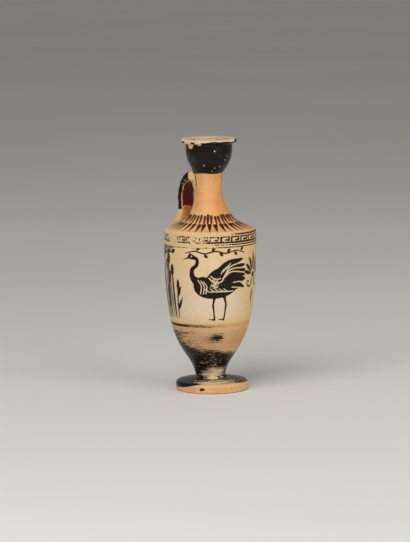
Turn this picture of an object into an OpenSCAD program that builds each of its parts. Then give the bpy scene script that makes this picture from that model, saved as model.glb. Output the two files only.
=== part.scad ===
// Lekythos: a slender oil flask of fired clay with a disc foot, one strap handle and a cup-shaped mouth.
// Six formed pieces are seated in each other and closed with coils of luting slip.
// Z points up, the axis of the wheel is the Z axis, z = 0 is the face it stands on, and the handle is at -X.

/* [Foot] */
// Outside diameter of the disc foot
foot_d = 50.4; // [44:0.2:60]
// Height of the foot's outer edge
foot_edge_h = 6.6; // [5.6:0.1:9]
// Rise of the foot's top from its edge to the seat of the body
foot_rise = 1.8; // [0.6:0.1:3]
// Radius of the foot's rounded upper edge
foot_round = 2.4; // [1:0.1:3]
// Size of the small bevel round the foot's lower edge
foot_bevel = 0.8; // [0.3:0.1:1.5]
// Width of the flat ring that the vase stands on
rest_ring_w = 6; // [3:0.5:9]
// Height of the shallow hollow under the foot
foot_hollow = 2.4; // [1:0.1:3]

/* [Body] */
// Largest outside diameter of the body
body_d = 63.8; // [56:0.2:72]
// Height of the body from the foot to the shoulder
body_h = 102; // [88:0.5:118]
// Outside diameter of the stem above the foot
stem_d = 20.8; // [18:0.2:24]
// Outside diameter where the outline turns from hollow to full
turn_d = 31; // [28:0.2:36]
// Height of that turn above the foot
turn_h = 13.8; // [12:0.2:18]
// Lean of the wall at that turn, measured from the vertical
turn_angle = 35; // [28:0.5:40]
// Height of the straight wall at the top of the body
straight_h = 6; // [5:0.5:10]
// Thickness of the body wall
body_wall = 3; // [2:0.1:4.5]
// Height of the inside floor above the foot
floor_t = 7; // [5:0.5:10]
// Diameter of the stub under the body
stub_d = 14; // [10:0.5:16]
// Length of the stub under the body
stub_l = 2.6; // [1.5:0.1:3]

/* [Shoulder] */
// Height of the shoulder from the body to the neck
shoulder_h = 15.6; // [13:0.2:20]
// Radius of the rounded edge between body and shoulder
shoulder_round = 2; // [1:0.1:3]
// Slope of the shoulder beside that edge
shoulder_angle = 17; // [12:0.5:24]
// Thickness of the shoulder wall
shoulder_wall = 3; // [2.2:0.1:4]
// Depth of the ring that drops inside the body
shoulder_lip_h = 2.4; // [1.5:0.1:3.5]
// Thickness of that ring
shoulder_lip_t = 1.8; // [1.2:0.1:3]

/* [Neck] */
// Narrowest outside diameter of the neck
neck_d = 19.2; // [18:0.2:24]
// Height of the neck from the shoulder to the mouth
neck_h = 26.4; // [20:0.2:34]
// Outside diameter of the neck's foot on the shoulder
neck_base_d = 25.2; // [22.5:0.2:29]
// Outside diameter of the neck's top
neck_top_d = 19.9; // [18.6:0.1:24.6]
// Diameter of the bore that pours the oil
bore_d = 12; // [8:0.2:13]
// Thickness of the two spigots at the ends of the bore
spigot_t = 2; // [1.2:0.1:2.4]
// Length of the lower spigot, inside the shoulder
lower_spigot_l = 6; // [5:0.2:8]
// Length of the upper spigot, inside the mouth
upper_spigot_l = 1.8; // [1:0.1:2.4]

/* [Mouth] */
// Outside diameter of the lip
rim_d = 38.4; // [34:0.2:46]
// Outside diameter of the bowl
bowl_d = 32.4; // [29.2:0.2:33.6]
// Outside diameter of the bowl where it meets the neck
bowl_base_d = 21.6; // [20.8:0.2:25]
// Height of the mouth from the neck to the rim
mouth_h = 22.6; // [20:0.2:28]
// Thickness of the lip
lip_t = 2.6; // [2.2:0.1:3.2]
// Thickness of the bowl's wall
mouth_wall = 2.6; // [2:0.1:3.4]
// Thickness of the clay over the upper spigot
bowl_floor_t = 1.6; // [1:0.1:2.6]

/* [Handle] */
// Distance from the axis to the middle of the strap
handle_reach = 19.8; // [18:0.1:22]
// Width of the strap
handle_w = 15; // [10:0.5:17]
// Thickness of the strap
handle_t = 5.4; // [4:0.1:6.2]
// Drop of the strap's middle below the top of the neck, at the neck
handle_drop = 3.9; // [3.4:0.1:6]
// Height of the strap's outermost stretch above the top of the shoulder
handle_waist_h = 4; // [2:0.5:8]
// Distance from the axis to the middle of the strap's end in the shoulder
handle_foot_r = 24.2; // [22:0.2:25]
// Growth in thickness towards the shoulder
foot_flare_t = 6; // [2:0.5:8]
// Growth in width towards the shoulder
foot_flare_w = 3; // [0:0.5:5]
// Growth in thickness towards the neck
head_flare_t = 4; // [1:0.2:6]
// Growth in width towards the neck
head_flare_w = 0.6; // [0:0.2:3]

/* [Joints] */
// Clearance round each spigot, stub and ring
joint_gap = 0.15; // [0.05:0.05:0.3]
// Width of the coil of slip round the stem
foot_seam_w = 3; // [1.5:0.1:4]
// Height of the coil of slip round the stem
foot_seam_h = 2; // [1:0.1:3]
// Width of the coil of slip inside the shoulder edge
shoulder_seam_w = 2.2; // [1.2:0.1:3]
// Width of the coil of slip round the lower spigot
neck_seam_w = 2; // [1:0.1:2.2]
// Width of the coil of slip under the mouth
mouth_seam_w = 0.8; // [0.3:0.1:1]
// Height of the coil of slip under the mouth
mouth_seam_h = 2.2; // [1:0.1:3]

/* [Smoothness] */
// Straight steps in each curved stretch of an outline
curve_steps = 24; // [12:1:32]
// Rings along each half of the handle
handle_rings = 18; // [12:1:24]
// Sides of the handle's section
handle_sides = 24; // [16:4:32]

/* [Hidden] */
$fn = 96;

clay = "#d99a62";
ground = "#e3c496";
gloss = "#211d1f";
slip = "#cdb187";

// Levels of the joints, from the face it stands on
foot_top = foot_edge_h + foot_rise;
body_top = foot_top + body_h;
shoulder_top = body_top + shoulder_h;
neck_top = shoulder_top + neck_h;
rim_top = neck_top + mouth_h;

// Radii of the outline
foot_r = foot_d / 2;
stem_r = stem_d / 2;
body_r = body_d / 2;
body_in_r = body_r - body_wall;
neck_base_r = neck_base_d / 2;
neck_r = neck_d / 2;
neck_top_r = neck_top_d / 2;
bowl_base_r = bowl_base_d / 2;
bowl_r = bowl_d / 2;
rim_r = rim_d / 2;
bore_r = bore_d / 2;
spigot_r = bore_r + spigot_t;
stub_r = stub_d / 2;

// Pulls of the curves, which set how full each stretch is, from the stem up to the mouth
stem_pull = [0.8, 4];
turn_pull_down = 5;
turn_pull_up = 17;
belly_pull = 56;
shoulder_edge_rise = 0.6;
shoulder_pull_out = 13;
shoulder_pull_in = 5;
neck_lean_angle = 27;
neck_pull_low = 5;
neck_pull_waist = 8;
neck_waist_drop = 8.8;
neck_pull_above = 3;
neck_pull_head = 2.4;
bowl_pull_low = [1.5, 3];
bowl_pull_side = 8.4;
bowl_straight = 4.6;

// Roundings of the lip, and of the hollow under the foot
lip_curl = 1.4;
lip_soft = 0.8;
foot_round_end = 80;
hollow_pull = 0.8;

// Pull of a corner's curve towards the corner, as a share of the way
corner_pull = 0.6;

// Least step between a wall's curve and the flat that it runs into
wall_step = 0.6;

// Widening of the mouth's throat over the bore, and the lower spigot's bare end under its coil of slip
throat_gap = 0.4;
bare_end = 0.2;

// Straight steps in each small round
round_steps = 6;

// Pulls of the strap's middle line: out from the neck, up and down from its middle, and up from its foot
strap_pull_neck = [9.2, 2.8];
strap_pull_up = [-0.2, 11];
strap_pull_down = [0.33, -6];
strap_pull_foot = [-2.9, 6.6];

// Depth of the strap's ends inside the neck and the shoulder, before they are cut to the outer faces
strap_sink = 1.6;
strap_foot_rise = 1;
core_drop = 8;

// How the strap's section is squared off, and how late it grows towards its head and its foot
strap_squareness = 0.6;
head_growth = 3;
foot_growth = 2;

// How soon the strap's head wraps round the neck, and the most of the neck's radius that its sides reach
wrap_growth = 2;
wrap_reach = 0.98;

// Depth of the boss under the shoulder's hole, beyond the wall's own thickness
boss_drop = 1.5;

// A cubic Bezier curve from a to d with the pulls b and c, in n straight steps
function bezier(a, b, c, d, n) =
    [for (i = [0 : n]) let (t = i / n, s = 1 - t) s^3 * a + 3 * s^2 * t * b + 3 * s * t^2 * c + t^3 * d];

// A round about a centre, from one angle to another
function arc(centre, r, from, to) =
    [for (i = [0 : round_steps])
        let (a = from + (to - from) * i / round_steps) centre + r * [cos(a), sin(a)]];

// A curve from a to b that is pulled towards a corner
function cornered(a, corner, b) =
    bezier(a, a + corner_pull * (corner - a), b + corner_pull * (corner - b), b, round_steps);

// The list without its first point, for joining curves end to end
function rest(points) = [for (i = [1 : len(points) - 1]) points[i]];
function reversed(points) = [for (i = [len(points) - 1 : -1 : 0]) points[i]];

// The unit normal to the left of an outline at point i
function left_normal(points, i) =
    let (a = points[max(i - 1, 0)], b = points[min(i + 1, len(points) - 1)], d = b - a)
    [-d.y, d.x] / norm(d);

// An outline moved to its left by t, which is inwards on an outline that runs up
function inset(points, t) = [for (i = [0 : len(points) - 1]) points[i] + t * left_normal(points, i)];

// Outlines of the outside, as [radius, height], each running up

stem_end = [stem_r, foot_top + foot_seam_h];
turn = [turn_d / 2, foot_top + turn_h];
turn_lean = [sin(turn_angle), cos(turn_angle)];
belly = [body_r, body_top - straight_h];
body_outline = concat(
    [[stem_r, foot_top]],
    bezier(stem_end, stem_end + stem_pull, turn - turn_pull_down * turn_lean, turn,
           curve_steps / 2),
    rest(bezier(turn, turn + turn_pull_up * turn_lean, belly - [0, belly_pull], belly, curve_steps)),
    [[body_r, body_top]]
);

shoulder_edge = [body_r - shoulder_round, body_top + shoulder_edge_rise];
shoulder_slope = [-cos(shoulder_angle), sin(shoulder_angle)];
shoulder_start = shoulder_edge + shoulder_round * [sin(shoulder_angle), cos(shoulder_angle)];
neck_seat = [neck_base_r, shoulder_top];
neck_lean = [-sin(neck_lean_angle), cos(neck_lean_angle)];
shoulder_outline = concat(
    [[body_r, body_top]],
    arc(shoulder_edge, shoulder_round, 0, 90 - shoulder_angle),
    rest(bezier(shoulder_start, shoulder_start + shoulder_pull_out * shoulder_slope,
                neck_seat - shoulder_pull_in * neck_lean, neck_seat, curve_steps))
);

neck_waist = [neck_r, neck_top - neck_waist_drop];
neck_head = [neck_top_r, neck_top - mouth_seam_h];
neck_curve = concat(
    bezier(neck_seat, neck_seat + neck_pull_low * neck_lean, neck_waist - [0, neck_pull_waist], neck_waist,
           curve_steps / 2),
    rest(bezier(neck_waist, neck_waist + [0, neck_pull_above], neck_head - [0, neck_pull_head], neck_head,
                curve_steps / 3))
);
neck_outline = concat(neck_curve, [[neck_top_r, neck_top]]);

bowl_base = [bowl_base_r, neck_top];
bowl_side = [bowl_r, rim_top - lip_t - bowl_straight];
bowl_outline = bezier(bowl_base, bowl_base + bowl_pull_low, bowl_side - [0, bowl_pull_side], bowl_side,
                      curve_steps);
lip_under = rim_top - lip_t;
lip_outline = concat(
    cornered([bowl_r, lip_under - lip_curl], [bowl_r, lip_under], [bowl_r + lip_curl, lip_under]),
    arc([rim_r - lip_soft, lip_under + lip_soft], lip_soft, -90, 0),
    arc([rim_r - lip_soft, rim_top - lip_soft], lip_soft, 0, 90)
);

// Outer faces of the two coils of slip that show outside, as hollow quarter rounds
foot_seam_face = cornered([stem_r + foot_seam_w, foot_top], [stem_r, foot_top], stem_end);
mouth_seam_face = cornered(neck_head, [neck_top_r, neck_top], [neck_top_r + mouth_seam_w, neck_top]);

module turned(outline) {
    rotate_extrude() polygon(outline);
}

// Everything inside the vase's outer skin above the body, which the handle is fitted to
module upper_core() {
    turned(concat(
        [[0, body_top - core_drop]],
        [[body_r, body_top - core_drop]],
        shoulder_outline,
        rest(neck_curve),
        rest(mouth_seam_face),
        [[bowl_base_r, neck_top]],
        rest(bowl_outline),
        [[0, bowl_side.y]]
    ));
}

// Disc foot with its socket above and its shallow hollow below
module foot() {
    seat_r = stub_r + joint_gap;
    ring_in_r = foot_r - foot_bevel - rest_ring_w;
    color(clay) turned(concat(
        bezier([0, foot_hollow], [ring_in_r * hollow_pull, foot_hollow],
               [ring_in_r * hollow_pull, foot_hollow], [ring_in_r, 0], round_steps),
        [[foot_r - foot_bevel, 0]],
        [[foot_r, foot_bevel]],
        arc([foot_r - foot_round, foot_edge_h - foot_round], foot_round, 0, foot_round_end),
        [[stem_r + foot_seam_w, foot_top]],
        [[seat_r, foot_top]],
        [[seat_r, foot_top - stub_l]],
        [[0, foot_top - stub_l]]
    ));
}

// Coil of slip smoothed into the corner between stem and foot
module foot_seam() {
    color(slip) turned(concat([[stem_r, foot_top]], foot_seam_face));
}

// Thrown body, open at the top, with a stub below that the foot's socket takes
module body() {
    floor_z = foot_top + floor_t;
    wall_in = [for (p = inset(body_outline, body_wall)) if (p.y > floor_z + wall_step) p];
    color(ground) turned(concat(
        [[0, foot_top - stub_l]],
        [[stub_r, foot_top - stub_l]],
        [[stub_r, foot_top]],
        body_outline,
        reversed(wall_in),
        [[0, floor_z]]
    ));
}

// Shoulder disc: its ring drops inside the body and its hole takes the neck's lower spigot
module shoulder() {
    lip_r = body_in_r - joint_gap;
    hole_r = spigot_r + joint_gap;
    lip_in_r = lip_r - shoulder_lip_t;
    under_z = shoulder_top - shoulder_wall - boss_drop;
    ceiling = [for (p = inset(shoulder_outline, shoulder_wall))
               if (p.x < lip_in_r - wall_step && p.y < under_z - wall_step) p];
    color(clay) turned(concat(
        [[lip_r, body_top]],
        shoulder_outline,
        [[hole_r, shoulder_top]],
        [[hole_r, under_z]],
        [[hole_r + neck_seam_w, under_z]],
        reversed(ceiling),
        [[lip_in_r, body_top]],
        [[lip_in_r, body_top - shoulder_lip_h]],
        [[lip_r, body_top - shoulder_lip_h]]
    ));
}

// Coil of slip pressed into the corner under the shoulder's ring, inside the body
module shoulder_seam() {
    top = body_top - shoulder_lip_h;
    low = top - shoulder_seam_w;
    seam_r = body_in_r - shoulder_seam_w;
    color(slip) turned(concat([[body_in_r, top]], cornered([seam_r, top], [seam_r, low], [body_in_r, low])));
}

// Neck tube with a spigot at each end and one true bore from end to end
module neck() {
    color(clay) turned(concat(
        [[bore_r, shoulder_top - lower_spigot_l]],
        [[spigot_r, shoulder_top - lower_spigot_l]],
        [[spigot_r, shoulder_top]],
        neck_outline,
        [[spigot_r, neck_top]],
        [[spigot_r, neck_top + upper_spigot_l]],
        [[bore_r, neck_top + upper_spigot_l]]
    ));
}

// Coil of slip round the lower spigot, pressed against the shoulder's underside
module neck_seam() {
    top = shoulder_top - shoulder_wall - boss_drop;
    low = max(top - neck_seam_w, shoulder_top - lower_spigot_l + bare_end);
    seam_r = spigot_r + neck_seam_w;
    color(slip) turned(concat([[spigot_r, top]], cornered([spigot_r, low], [seam_r, low], [seam_r, top])));
}

// Cup-shaped mouth with a flat lip, seated on the neck's upper spigot
module mouth() {
    socket_r = spigot_r + joint_gap;
    roof_z = neck_top + upper_spigot_l;
    throat_r = bore_r + throat_gap;
    in_r = bowl_r - mouth_wall;
    bowl_in = [for (p = inset(bowl_outline, mouth_wall)) if (p.y > roof_z + bowl_floor_t) p];
    color(gloss) turned(concat(
        [[socket_r, neck_top]],
        bowl_outline,
        lip_outline,
        arc([in_r + lip_soft, rim_top - lip_soft], lip_soft, 90, 180),
        reversed(bowl_in),
        [[throat_r, roof_z + wall_step]],
        [[throat_r, roof_z]],
        [[socket_r, roof_z]]
    ));
}

// Coil of slip smoothed into the corner between neck and mouth
module mouth_seam() {
    color(slip) turned(concat([[neck_top_r, neck_top]], mouth_seam_face));
}

// Middle line of the strap in the handle's plane, as [distance from the axis, height]
handle_start = [neck_top_r - strap_sink, neck_top - handle_drop];
handle_middle = [handle_reach, shoulder_top + handle_waist_h];
handle_end = [handle_foot_r, body_top + strap_foot_rise];
handle_upper = bezier(handle_start, handle_start + strap_pull_neck, handle_middle + strap_pull_up,
                      handle_middle, handle_rings);
handle_lower = bezier(handle_middle, handle_middle + strap_pull_down, handle_end + strap_pull_foot,
                      handle_end, handle_rings);
handle_line = concat(handle_upper, rest(handle_lower));

// How far along each half a ring lies, which sets the strap's growth towards its ends
function head_share(i) = max(0, 1 - i / handle_rings);
function foot_share(i) = max(0, i / handle_rings - 1);
function flared(size, head, foot, i) =
    size + head * head_share(i)^head_growth + foot * foot_share(i)^foot_growth;

// A rounded flat section: a superellipse between an oval and a box
function rounded(value) = sign(value) * pow(abs(value), strap_squareness);

// How far the strap's side at a distance along the width is drawn in round the neck
function wrapped(along, i) =
    let (side = min(abs(along), wrap_reach * neck_top_r))
    (neck_top_r - sqrt(neck_top_r^2 - side^2)) * head_share(i)^wrap_growth;

function strap_ring(i) =
    let (middle = handle_line[i],
         out = -left_normal(handle_line, i),
         half_t = flared(handle_t, head_flare_t, foot_flare_t, i) / 2,
         half_w = flared(handle_w, head_flare_w, foot_flare_w, i) / 2)
    [for (k = [0 : handle_sides - 1])
        let (a = 360 * k / handle_sides,
             across = rounded(cos(a)) * half_t,
             along = rounded(sin(a)) * half_w)
        [wrapped(along, i) - middle.x - across * out.x, along, middle.y + across * out.y]];

module strap() {
    rings = len(handle_line);
    points = [for (i = [0 : rings - 1]) each strap_ring(i)];
    sides = [for (i = [0 : rings - 2], k = [0 : handle_sides - 1])
        let (a = i * handle_sides + k, b = i * handle_sides + (k + 1) % handle_sides)
        [a, b, b + handle_sides, a + handle_sides]];
    caps = [[for (k = [handle_sides - 1 : -1 : 0]) k],
            [for (k = [0 : handle_sides - 1]) (rings - 1) * handle_sides + k]];
    polyhedron(points, concat(sides, caps), convexity = 4);
}

// Strap handle from the top of the neck to the shoulder, its ends cut to the faces that they are luted to
module handle() {
    color(gloss) difference() {
        strap();
        upper_core();
    }
}

foot();
foot_seam();
body();
shoulder();
shoulder_seam();
neck();
neck_seam();
mouth();
mouth_seam();
handle();
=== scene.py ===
import math

import bpy
import numpy as np
from mathutils import Matrix, Vector


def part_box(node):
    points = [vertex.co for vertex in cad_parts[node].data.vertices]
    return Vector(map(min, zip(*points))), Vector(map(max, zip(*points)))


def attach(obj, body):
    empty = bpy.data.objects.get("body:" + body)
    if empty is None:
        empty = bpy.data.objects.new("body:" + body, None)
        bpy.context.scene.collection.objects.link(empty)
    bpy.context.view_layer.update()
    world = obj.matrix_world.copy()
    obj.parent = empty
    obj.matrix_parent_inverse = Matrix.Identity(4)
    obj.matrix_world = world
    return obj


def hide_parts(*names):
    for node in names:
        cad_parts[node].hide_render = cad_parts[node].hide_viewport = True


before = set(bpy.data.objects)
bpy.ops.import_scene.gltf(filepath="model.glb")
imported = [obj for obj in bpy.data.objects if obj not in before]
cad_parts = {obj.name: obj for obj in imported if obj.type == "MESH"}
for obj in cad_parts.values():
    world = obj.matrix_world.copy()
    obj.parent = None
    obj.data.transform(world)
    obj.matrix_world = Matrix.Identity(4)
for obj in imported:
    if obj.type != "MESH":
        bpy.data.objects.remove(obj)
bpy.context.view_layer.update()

# Lengths in this script are in millimetres, as on a drawing, and become metres in the meshes
MM = 0.001

# The camera stands to the right of the vase's front, a little above it
CAMERA_AZIMUTH = math.radians(36)
CAMERA_DISTANCE = 2000
CAMERA_HEIGHT = 354
CAMERA_TARGET = 92
CAMERA_LENS = 191.3
CAMERA_SENSOR = 36
CAMERA_ROLL = math.radians(-0.55)
TARGET_RIGHT_OF_CENTRE = 3.6
TARGET_ABOVE_CENTRE = 9.3

# Directions on the ground: to the camera, and to the right as the camera sees it
TOWARDS = np.array([math.sin(CAMERA_AZIMUTH), -math.cos(CAMERA_AZIMUTH)])
RIGHT = np.array([math.cos(CAMERA_AZIMUTH), math.sin(CAMERA_AZIMUTH)])

# Levels and radii of the pieces, from the frame, and about the radius of the neck beside the handle
BODY_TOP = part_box("body")[1].z / MM
BODY_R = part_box("body")[1].x / MM
NECK_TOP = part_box("mouth_seam")[1].z / MM
RIM_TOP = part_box("mouth")[1].z / MM
RIM_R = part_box("mouth")[1].x / MM
NECK_R = 9.8

# Drawings are laid out on the body's unrolled cylinder: across from the side that the camera sees, and height
TURN = 2 * math.pi
ROUND = TURN * BODY_R
HANDLE_ACROSS = math.atan2(-RIGHT[0], -TOWARDS[0]) * BODY_R

# The distance written where no paint is near
FAR = -9.0

# Levels of the ornament on the body: key, two lines below it, vine, ground under the reeds and the cranes,
# brushed line and black lower wall
KEY = (106.2, 110.2)
UPPER_LINE = (103.9, 104.9)
SECOND_LINE = (102.3, 103.1)
VINE_LEVEL = 99.6
REED_GROUND = 53
CRANE_GROUND = 52.5
BRUSHED_LINE = (46.7, 48.7)
LOWER_BLACK = (8, 43.5)

# The strap's voxels and rounds of smoothing, how far the clay of its upper end is smeared down the neck and
# away from it, and where its paint stops: this far from the axis above, and at this height below
STRAP_VOXEL = 0.42
STRAP_SMOOTHING = 12
SMEAR_LENGTH = 7.5
SMEAR_WIDTH = 3.2
STRAP_PAINT_REACH = 11.2
STRAP_PAINT_FOOT = 125.2

# Chips out of the rim and the foot: degrees from the camera's side, height, size and depth of each
NICKS = {
    "mouth": ((74, 174.6, 1.5, 0.5), (-56, 174.9, 1.1, 0.35), (18, 175, 0.9, 0.3),
              (-128, 174.8, 1.4, 0.5), (150, 174.7, 1.7, 0.45), (112, 174.9, 1.0, 0.3)),
    "foot": ((66, 6.6, 1.5, 0.5), (78, 5.4, 1.7, 0.6), (87, 3.6, 1.3, 0.4), (-66, 6.8, 1.2, 0.35),
             (8, 0.6, 1.2, 0.4), (-14, 3.1, 0.9, 0.35), (140, 6.0, 1.8, 0.5), (-150, 1.2, 1.6, 0.5))}

# A corner sharper than CORNER stays sharp on a turned piece, and an edge sharper than SHARP is shaded sharp
CORNER = math.radians(24)
SHARP = math.radians(38)

# Outline points nearer than SAME_POINT are one, and a curve ends where one step is UNEVEN times the next
SAME_POINT = 0.03
UNEVEN = 4


# Outlines, read from the frame's own turned nodes

def wrapped(value, full):
    """The value brought within half of full on either side of 0, as an angle within half a turn."""
    return (value + full / 2) % full - full / 2


def outline_of(node):
    """The outline of a turned node as (radius, height) points, and whether it closes on itself."""
    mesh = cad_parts[node].data
    places = np.array([v.co for v in mesh.vertices]) / MM
    flat = np.round(np.stack([np.hypot(places[:, 0], places[:, 1]), places[:, 2]], axis=1), 2)
    points, ids = np.unique(flat, axis=0, return_inverse=True)
    apart = np.hypot(*(points[:, None] - points[None]).transpose(2, 0, 1))
    ids = np.argmax(apart < SAME_POINT, axis=1)[ids.ravel()]
    links = {int(i): set() for i in np.unique(ids)}
    for edge in mesh.edges:
        a, b = (int(ids[v]) for v in edge.vertices)
        if a != b:
            links[a].add(b)
            links[b].add(a)
    ends = [i for i, near in links.items() if len(near) == 1]
    path = [min(ends or links, key=lambda i: points[i][1])]
    seen = set(path)
    while True:
        onward = [i for i in links[path[-1]] if i not in seen]
        if not onward:
            break
        path.append(onward[0])
        seen.add(onward[0])
    chain = [points[i] for i in path]
    if ends:
        if chain[0][0] > 0:
            chain.insert(0, np.array([0.0, chain[0][1]]))
        if chain[-1][0] > 0:
            chain.append(np.array([0.0, chain[-1][1]]))
    chain = np.array(chain)
    area = np.sum(chain[:, 0] * np.roll(chain[:, 1], -1) - np.roll(chain[:, 0], -1) * chain[:, 1])
    return (chain if area > 0 else chain[::-1]), not ends


def unit(value):
    """The value kept between 0 and 1."""
    return np.clip(value, 0, 1)


def side_of(a, b, p):
    """Positive where p lies to the left of the line from a to b."""
    return (b[0] - a[0]) * (p[1] - a[1]) - (b[1] - a[1]) * (p[0] - a[0])


def is_exposed(a, b, chain):
    """Whether the outline from a to b can be seen from outside, straight along its normal."""
    along = (b - a) / max(np.hypot(*(b - a)), 1e-9)
    normal = np.array([along[1], -along[0]])
    near = (a + b) / 2 + normal * 0.02
    far = near + normal * 400
    if far[0] < 0:
        return False
    for c, d in zip(chain, np.roll(chain, -1, axis=0)):
        if side_of(near, far, c) * side_of(near, far, d) < 0 and side_of(c, d, near) * side_of(c, d, far) < 0:
            return False
    return True


def curve_through(points, spacing=0.1):
    """Points along a smooth curve through the given ones, close together."""
    if len(points) == 2:
        count = max(2, int(np.hypot(*(points[1] - points[0])) / spacing) + 1)
        return points[0] + np.linspace(0, 1, count)[:, None] * (points[1] - points[0])
    steps = np.hypot(*np.diff(points, axis=0).T)
    place = np.concatenate([[0], np.cumsum(steps)])
    slopes = np.gradient(points, place, axis=0)
    at = np.linspace(0, place[-1], max(3, int(place[-1] / spacing) + 1))
    i = np.clip(np.searchsorted(place, at, side="right") - 1, 0, len(steps) - 1)
    h = steps[i][:, None]
    t = ((at - place[i]) / steps[i])[:, None]
    return ((2 * t**3 - 3 * t**2 + 1) * points[i] + (t**3 - 2 * t**2 + t) * h * slopes[i]
            + (3 * t**2 - 2 * t**3) * points[i + 1] + (t**3 - t**2) * h * slopes[i + 1])


def spaced(path, spacing_at):
    """The same path with its points spaced as spacing_at(radius, height) says."""
    steps = np.hypot(*np.diff(path, axis=0).T)
    middles = (path[1:] + path[:-1]) / 2
    cost = np.concatenate([[0], np.cumsum(steps / spacing_at(middles[:, 0], middles[:, 1]))])
    at = np.linspace(0, cost[-1], max(2, int(math.ceil(cost[-1])) + 1))
    return np.stack([np.interp(at, cost, path[:, 0]), np.interp(at, cost, path[:, 1])], axis=1)


def turned_outline(node, fine, coarse):
    """The node's outline with smooth curves between its corners, finely spaced where it shows."""
    chain, closed = outline_of(node)
    after = np.roll(chain, -1, axis=0)
    before = np.roll(chain, 1, axis=0)
    onward = np.arctan2(*(after - chain).T[::-1])
    arriving = np.arctan2(*(chain - before).T[::-1])
    turning = np.abs(wrapped(onward - arriving, TURN))
    exposed = np.array([is_exposed(a, b, chain) for a, b in zip(chain, after)])
    lengths = np.hypot(*(after - chain).T)
    ratio = lengths / np.roll(lengths, 1)
    breaks = (turning > CORNER) | (exposed != np.roll(exposed, 1)) | (ratio > UNEVEN) | (ratio < 1 / UNEVEN)
    count = len(chain)
    if closed:
        first = int(np.flatnonzero(breaks)[0])
        order = [(first + i) % count for i in range(count)] + [first]
    else:
        order = list(range(count))
    pieces = []
    shows = []
    run = [order[0]]
    for i in order[1:]:
        run.append(i)
        if breaks[i] or i == order[-1]:
            spacing = fine if exposed[run[0]] else coarse
            pieces.append(spaced(curve_through(chain[run]), spacing)[:-1])
            shows.extend([exposed[run[0]]] * len(pieces[-1]))
            run = [i]
    if not closed:
        pieces.append(chain[-1:])
        shows.append(shows[-1])
    return np.vstack(pieces), np.array(shows), closed


# Meshes

def lean(height):
    """How far the hand-thrown vase strays to the right of its axis at each height, as the camera sees it."""
    return np.interp(height, [0, 7, 12, 35, 60, 126, 134, 150, 158, 175],
                     [0.5, 0.5, -0.6, -0.5, 0, 0, -0.8, -0.8, -0.3, -0.2])


def wobble(angle, height):
    """Small waves that a potter's fingers leave, outward from the axis."""
    slow = 0.07 * np.sin(2 * angle + 0.05 * height) + 0.05 * np.sin(3 * angle - 0.03 * height + 1.0)
    ridges = 0.022 * np.sin(height * 2.1 + 0.8 * np.sin(angle)) * np.sin(height * 0.37 + 1.3 * angle)
    return slow + ridges


def nicked(turn, out, height, nicks):
    """The distance from the axis, less where small flat-bottomed chips are knocked out."""
    for angle, level, size, depth in nicks:
        off = wrapped(turn - math.radians(angle), TURN)
        near = 1 - (np.hypot(off * out, height - level) / size) ** 2
        out = out - depth * np.clip(near, 0, 0.6) / 0.6
    return out


def paint_on(mesh, fields):
    """Keeps the painted fields on a mesh as point attributes, which the materials read."""
    for key, values in fields.items():
        layer = mesh.attributes.new(key, "FLOAT", "POINT")
        layer.data.foreach_set("value", np.asarray(values, np.float32))
    mesh.shade_smooth()


def make_mesh(name, places, faces, fields):
    """A smooth-shaded object from places in mm, with its painted fields."""
    mesh = bpy.data.meshes.new(name)
    mesh.from_pydata((places * MM).tolist(), [], faces)
    mesh.validate()
    paint_on(mesh, fields)
    mesh.set_sharp_from_angle(angle=SHARP)
    made = bpy.data.objects.new(name, mesh)
    bpy.context.scene.collection.objects.link(made)
    return made


def turned(name, node, segments, fine, coarse, paint):
    """A turned piece in the node's place. paint(angle, radius, height, shows) gives its fields."""
    outline, shows, closed = turned_outline(node, fine, coarse)
    angle = (np.arange(segments) + 0.5) * TURN / segments - math.pi
    following = np.roll(np.arange(segments), -1)
    off_axis = outline[:, 0] > 1e-3
    rings = outline[off_axis]
    radius = np.repeat(rings[:, 0], segments)
    height = np.repeat(rings[:, 1], segments)
    outer = np.repeat(shows[off_axis], segments)
    turn = np.tile(angle, len(rings))
    facing = np.outer(np.cos(turn), TOWARDS) + np.outer(np.sin(turn), RIGHT)
    out = radius + wobble(turn, height) * unit(radius / 8)
    out = nicked(turn, out, height, NICKS.get(node, ()))
    places = np.column_stack([facing * out[:, None] + RIGHT * lean(height)[:, None], height])
    fields = paint(turn, radius, height, outer)
    faces = []
    count = len(rings)
    for j in range(count if closed else count - 1):
        a = j * segments + np.arange(segments)
        b = j * segments + following
        c = ((j + 1) % count) * segments + following
        d = ((j + 1) % count) * segments + np.arange(segments)
        faces.extend(np.stack([a, b, c, d], axis=1).tolist())
    if not closed:
        for end, ring in ((outline[0], 0), (outline[-1], count - 1)):
            pole = len(places)
            centre = RIGHT * lean(end[1])
            places = np.vstack([places, [centre[0], centre[1], end[1]]])
            fields = {key: np.append(values, values[ring * segments]) for key, values in fields.items()}
            a = ring * segments + np.arange(segments)
            b = ring * segments + following
            spokes = (b, a) if ring == 0 else (a, b)
            faces.extend(np.stack([spokes[0], spokes[1], np.full(segments, pole)], axis=1).tolist())
    made = make_mesh(name, places, faces, fields)
    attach(made, "root")
    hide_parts(node)
    return made


# Painting: signed distances in mm to the brush's shapes, positive inside them

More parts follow.
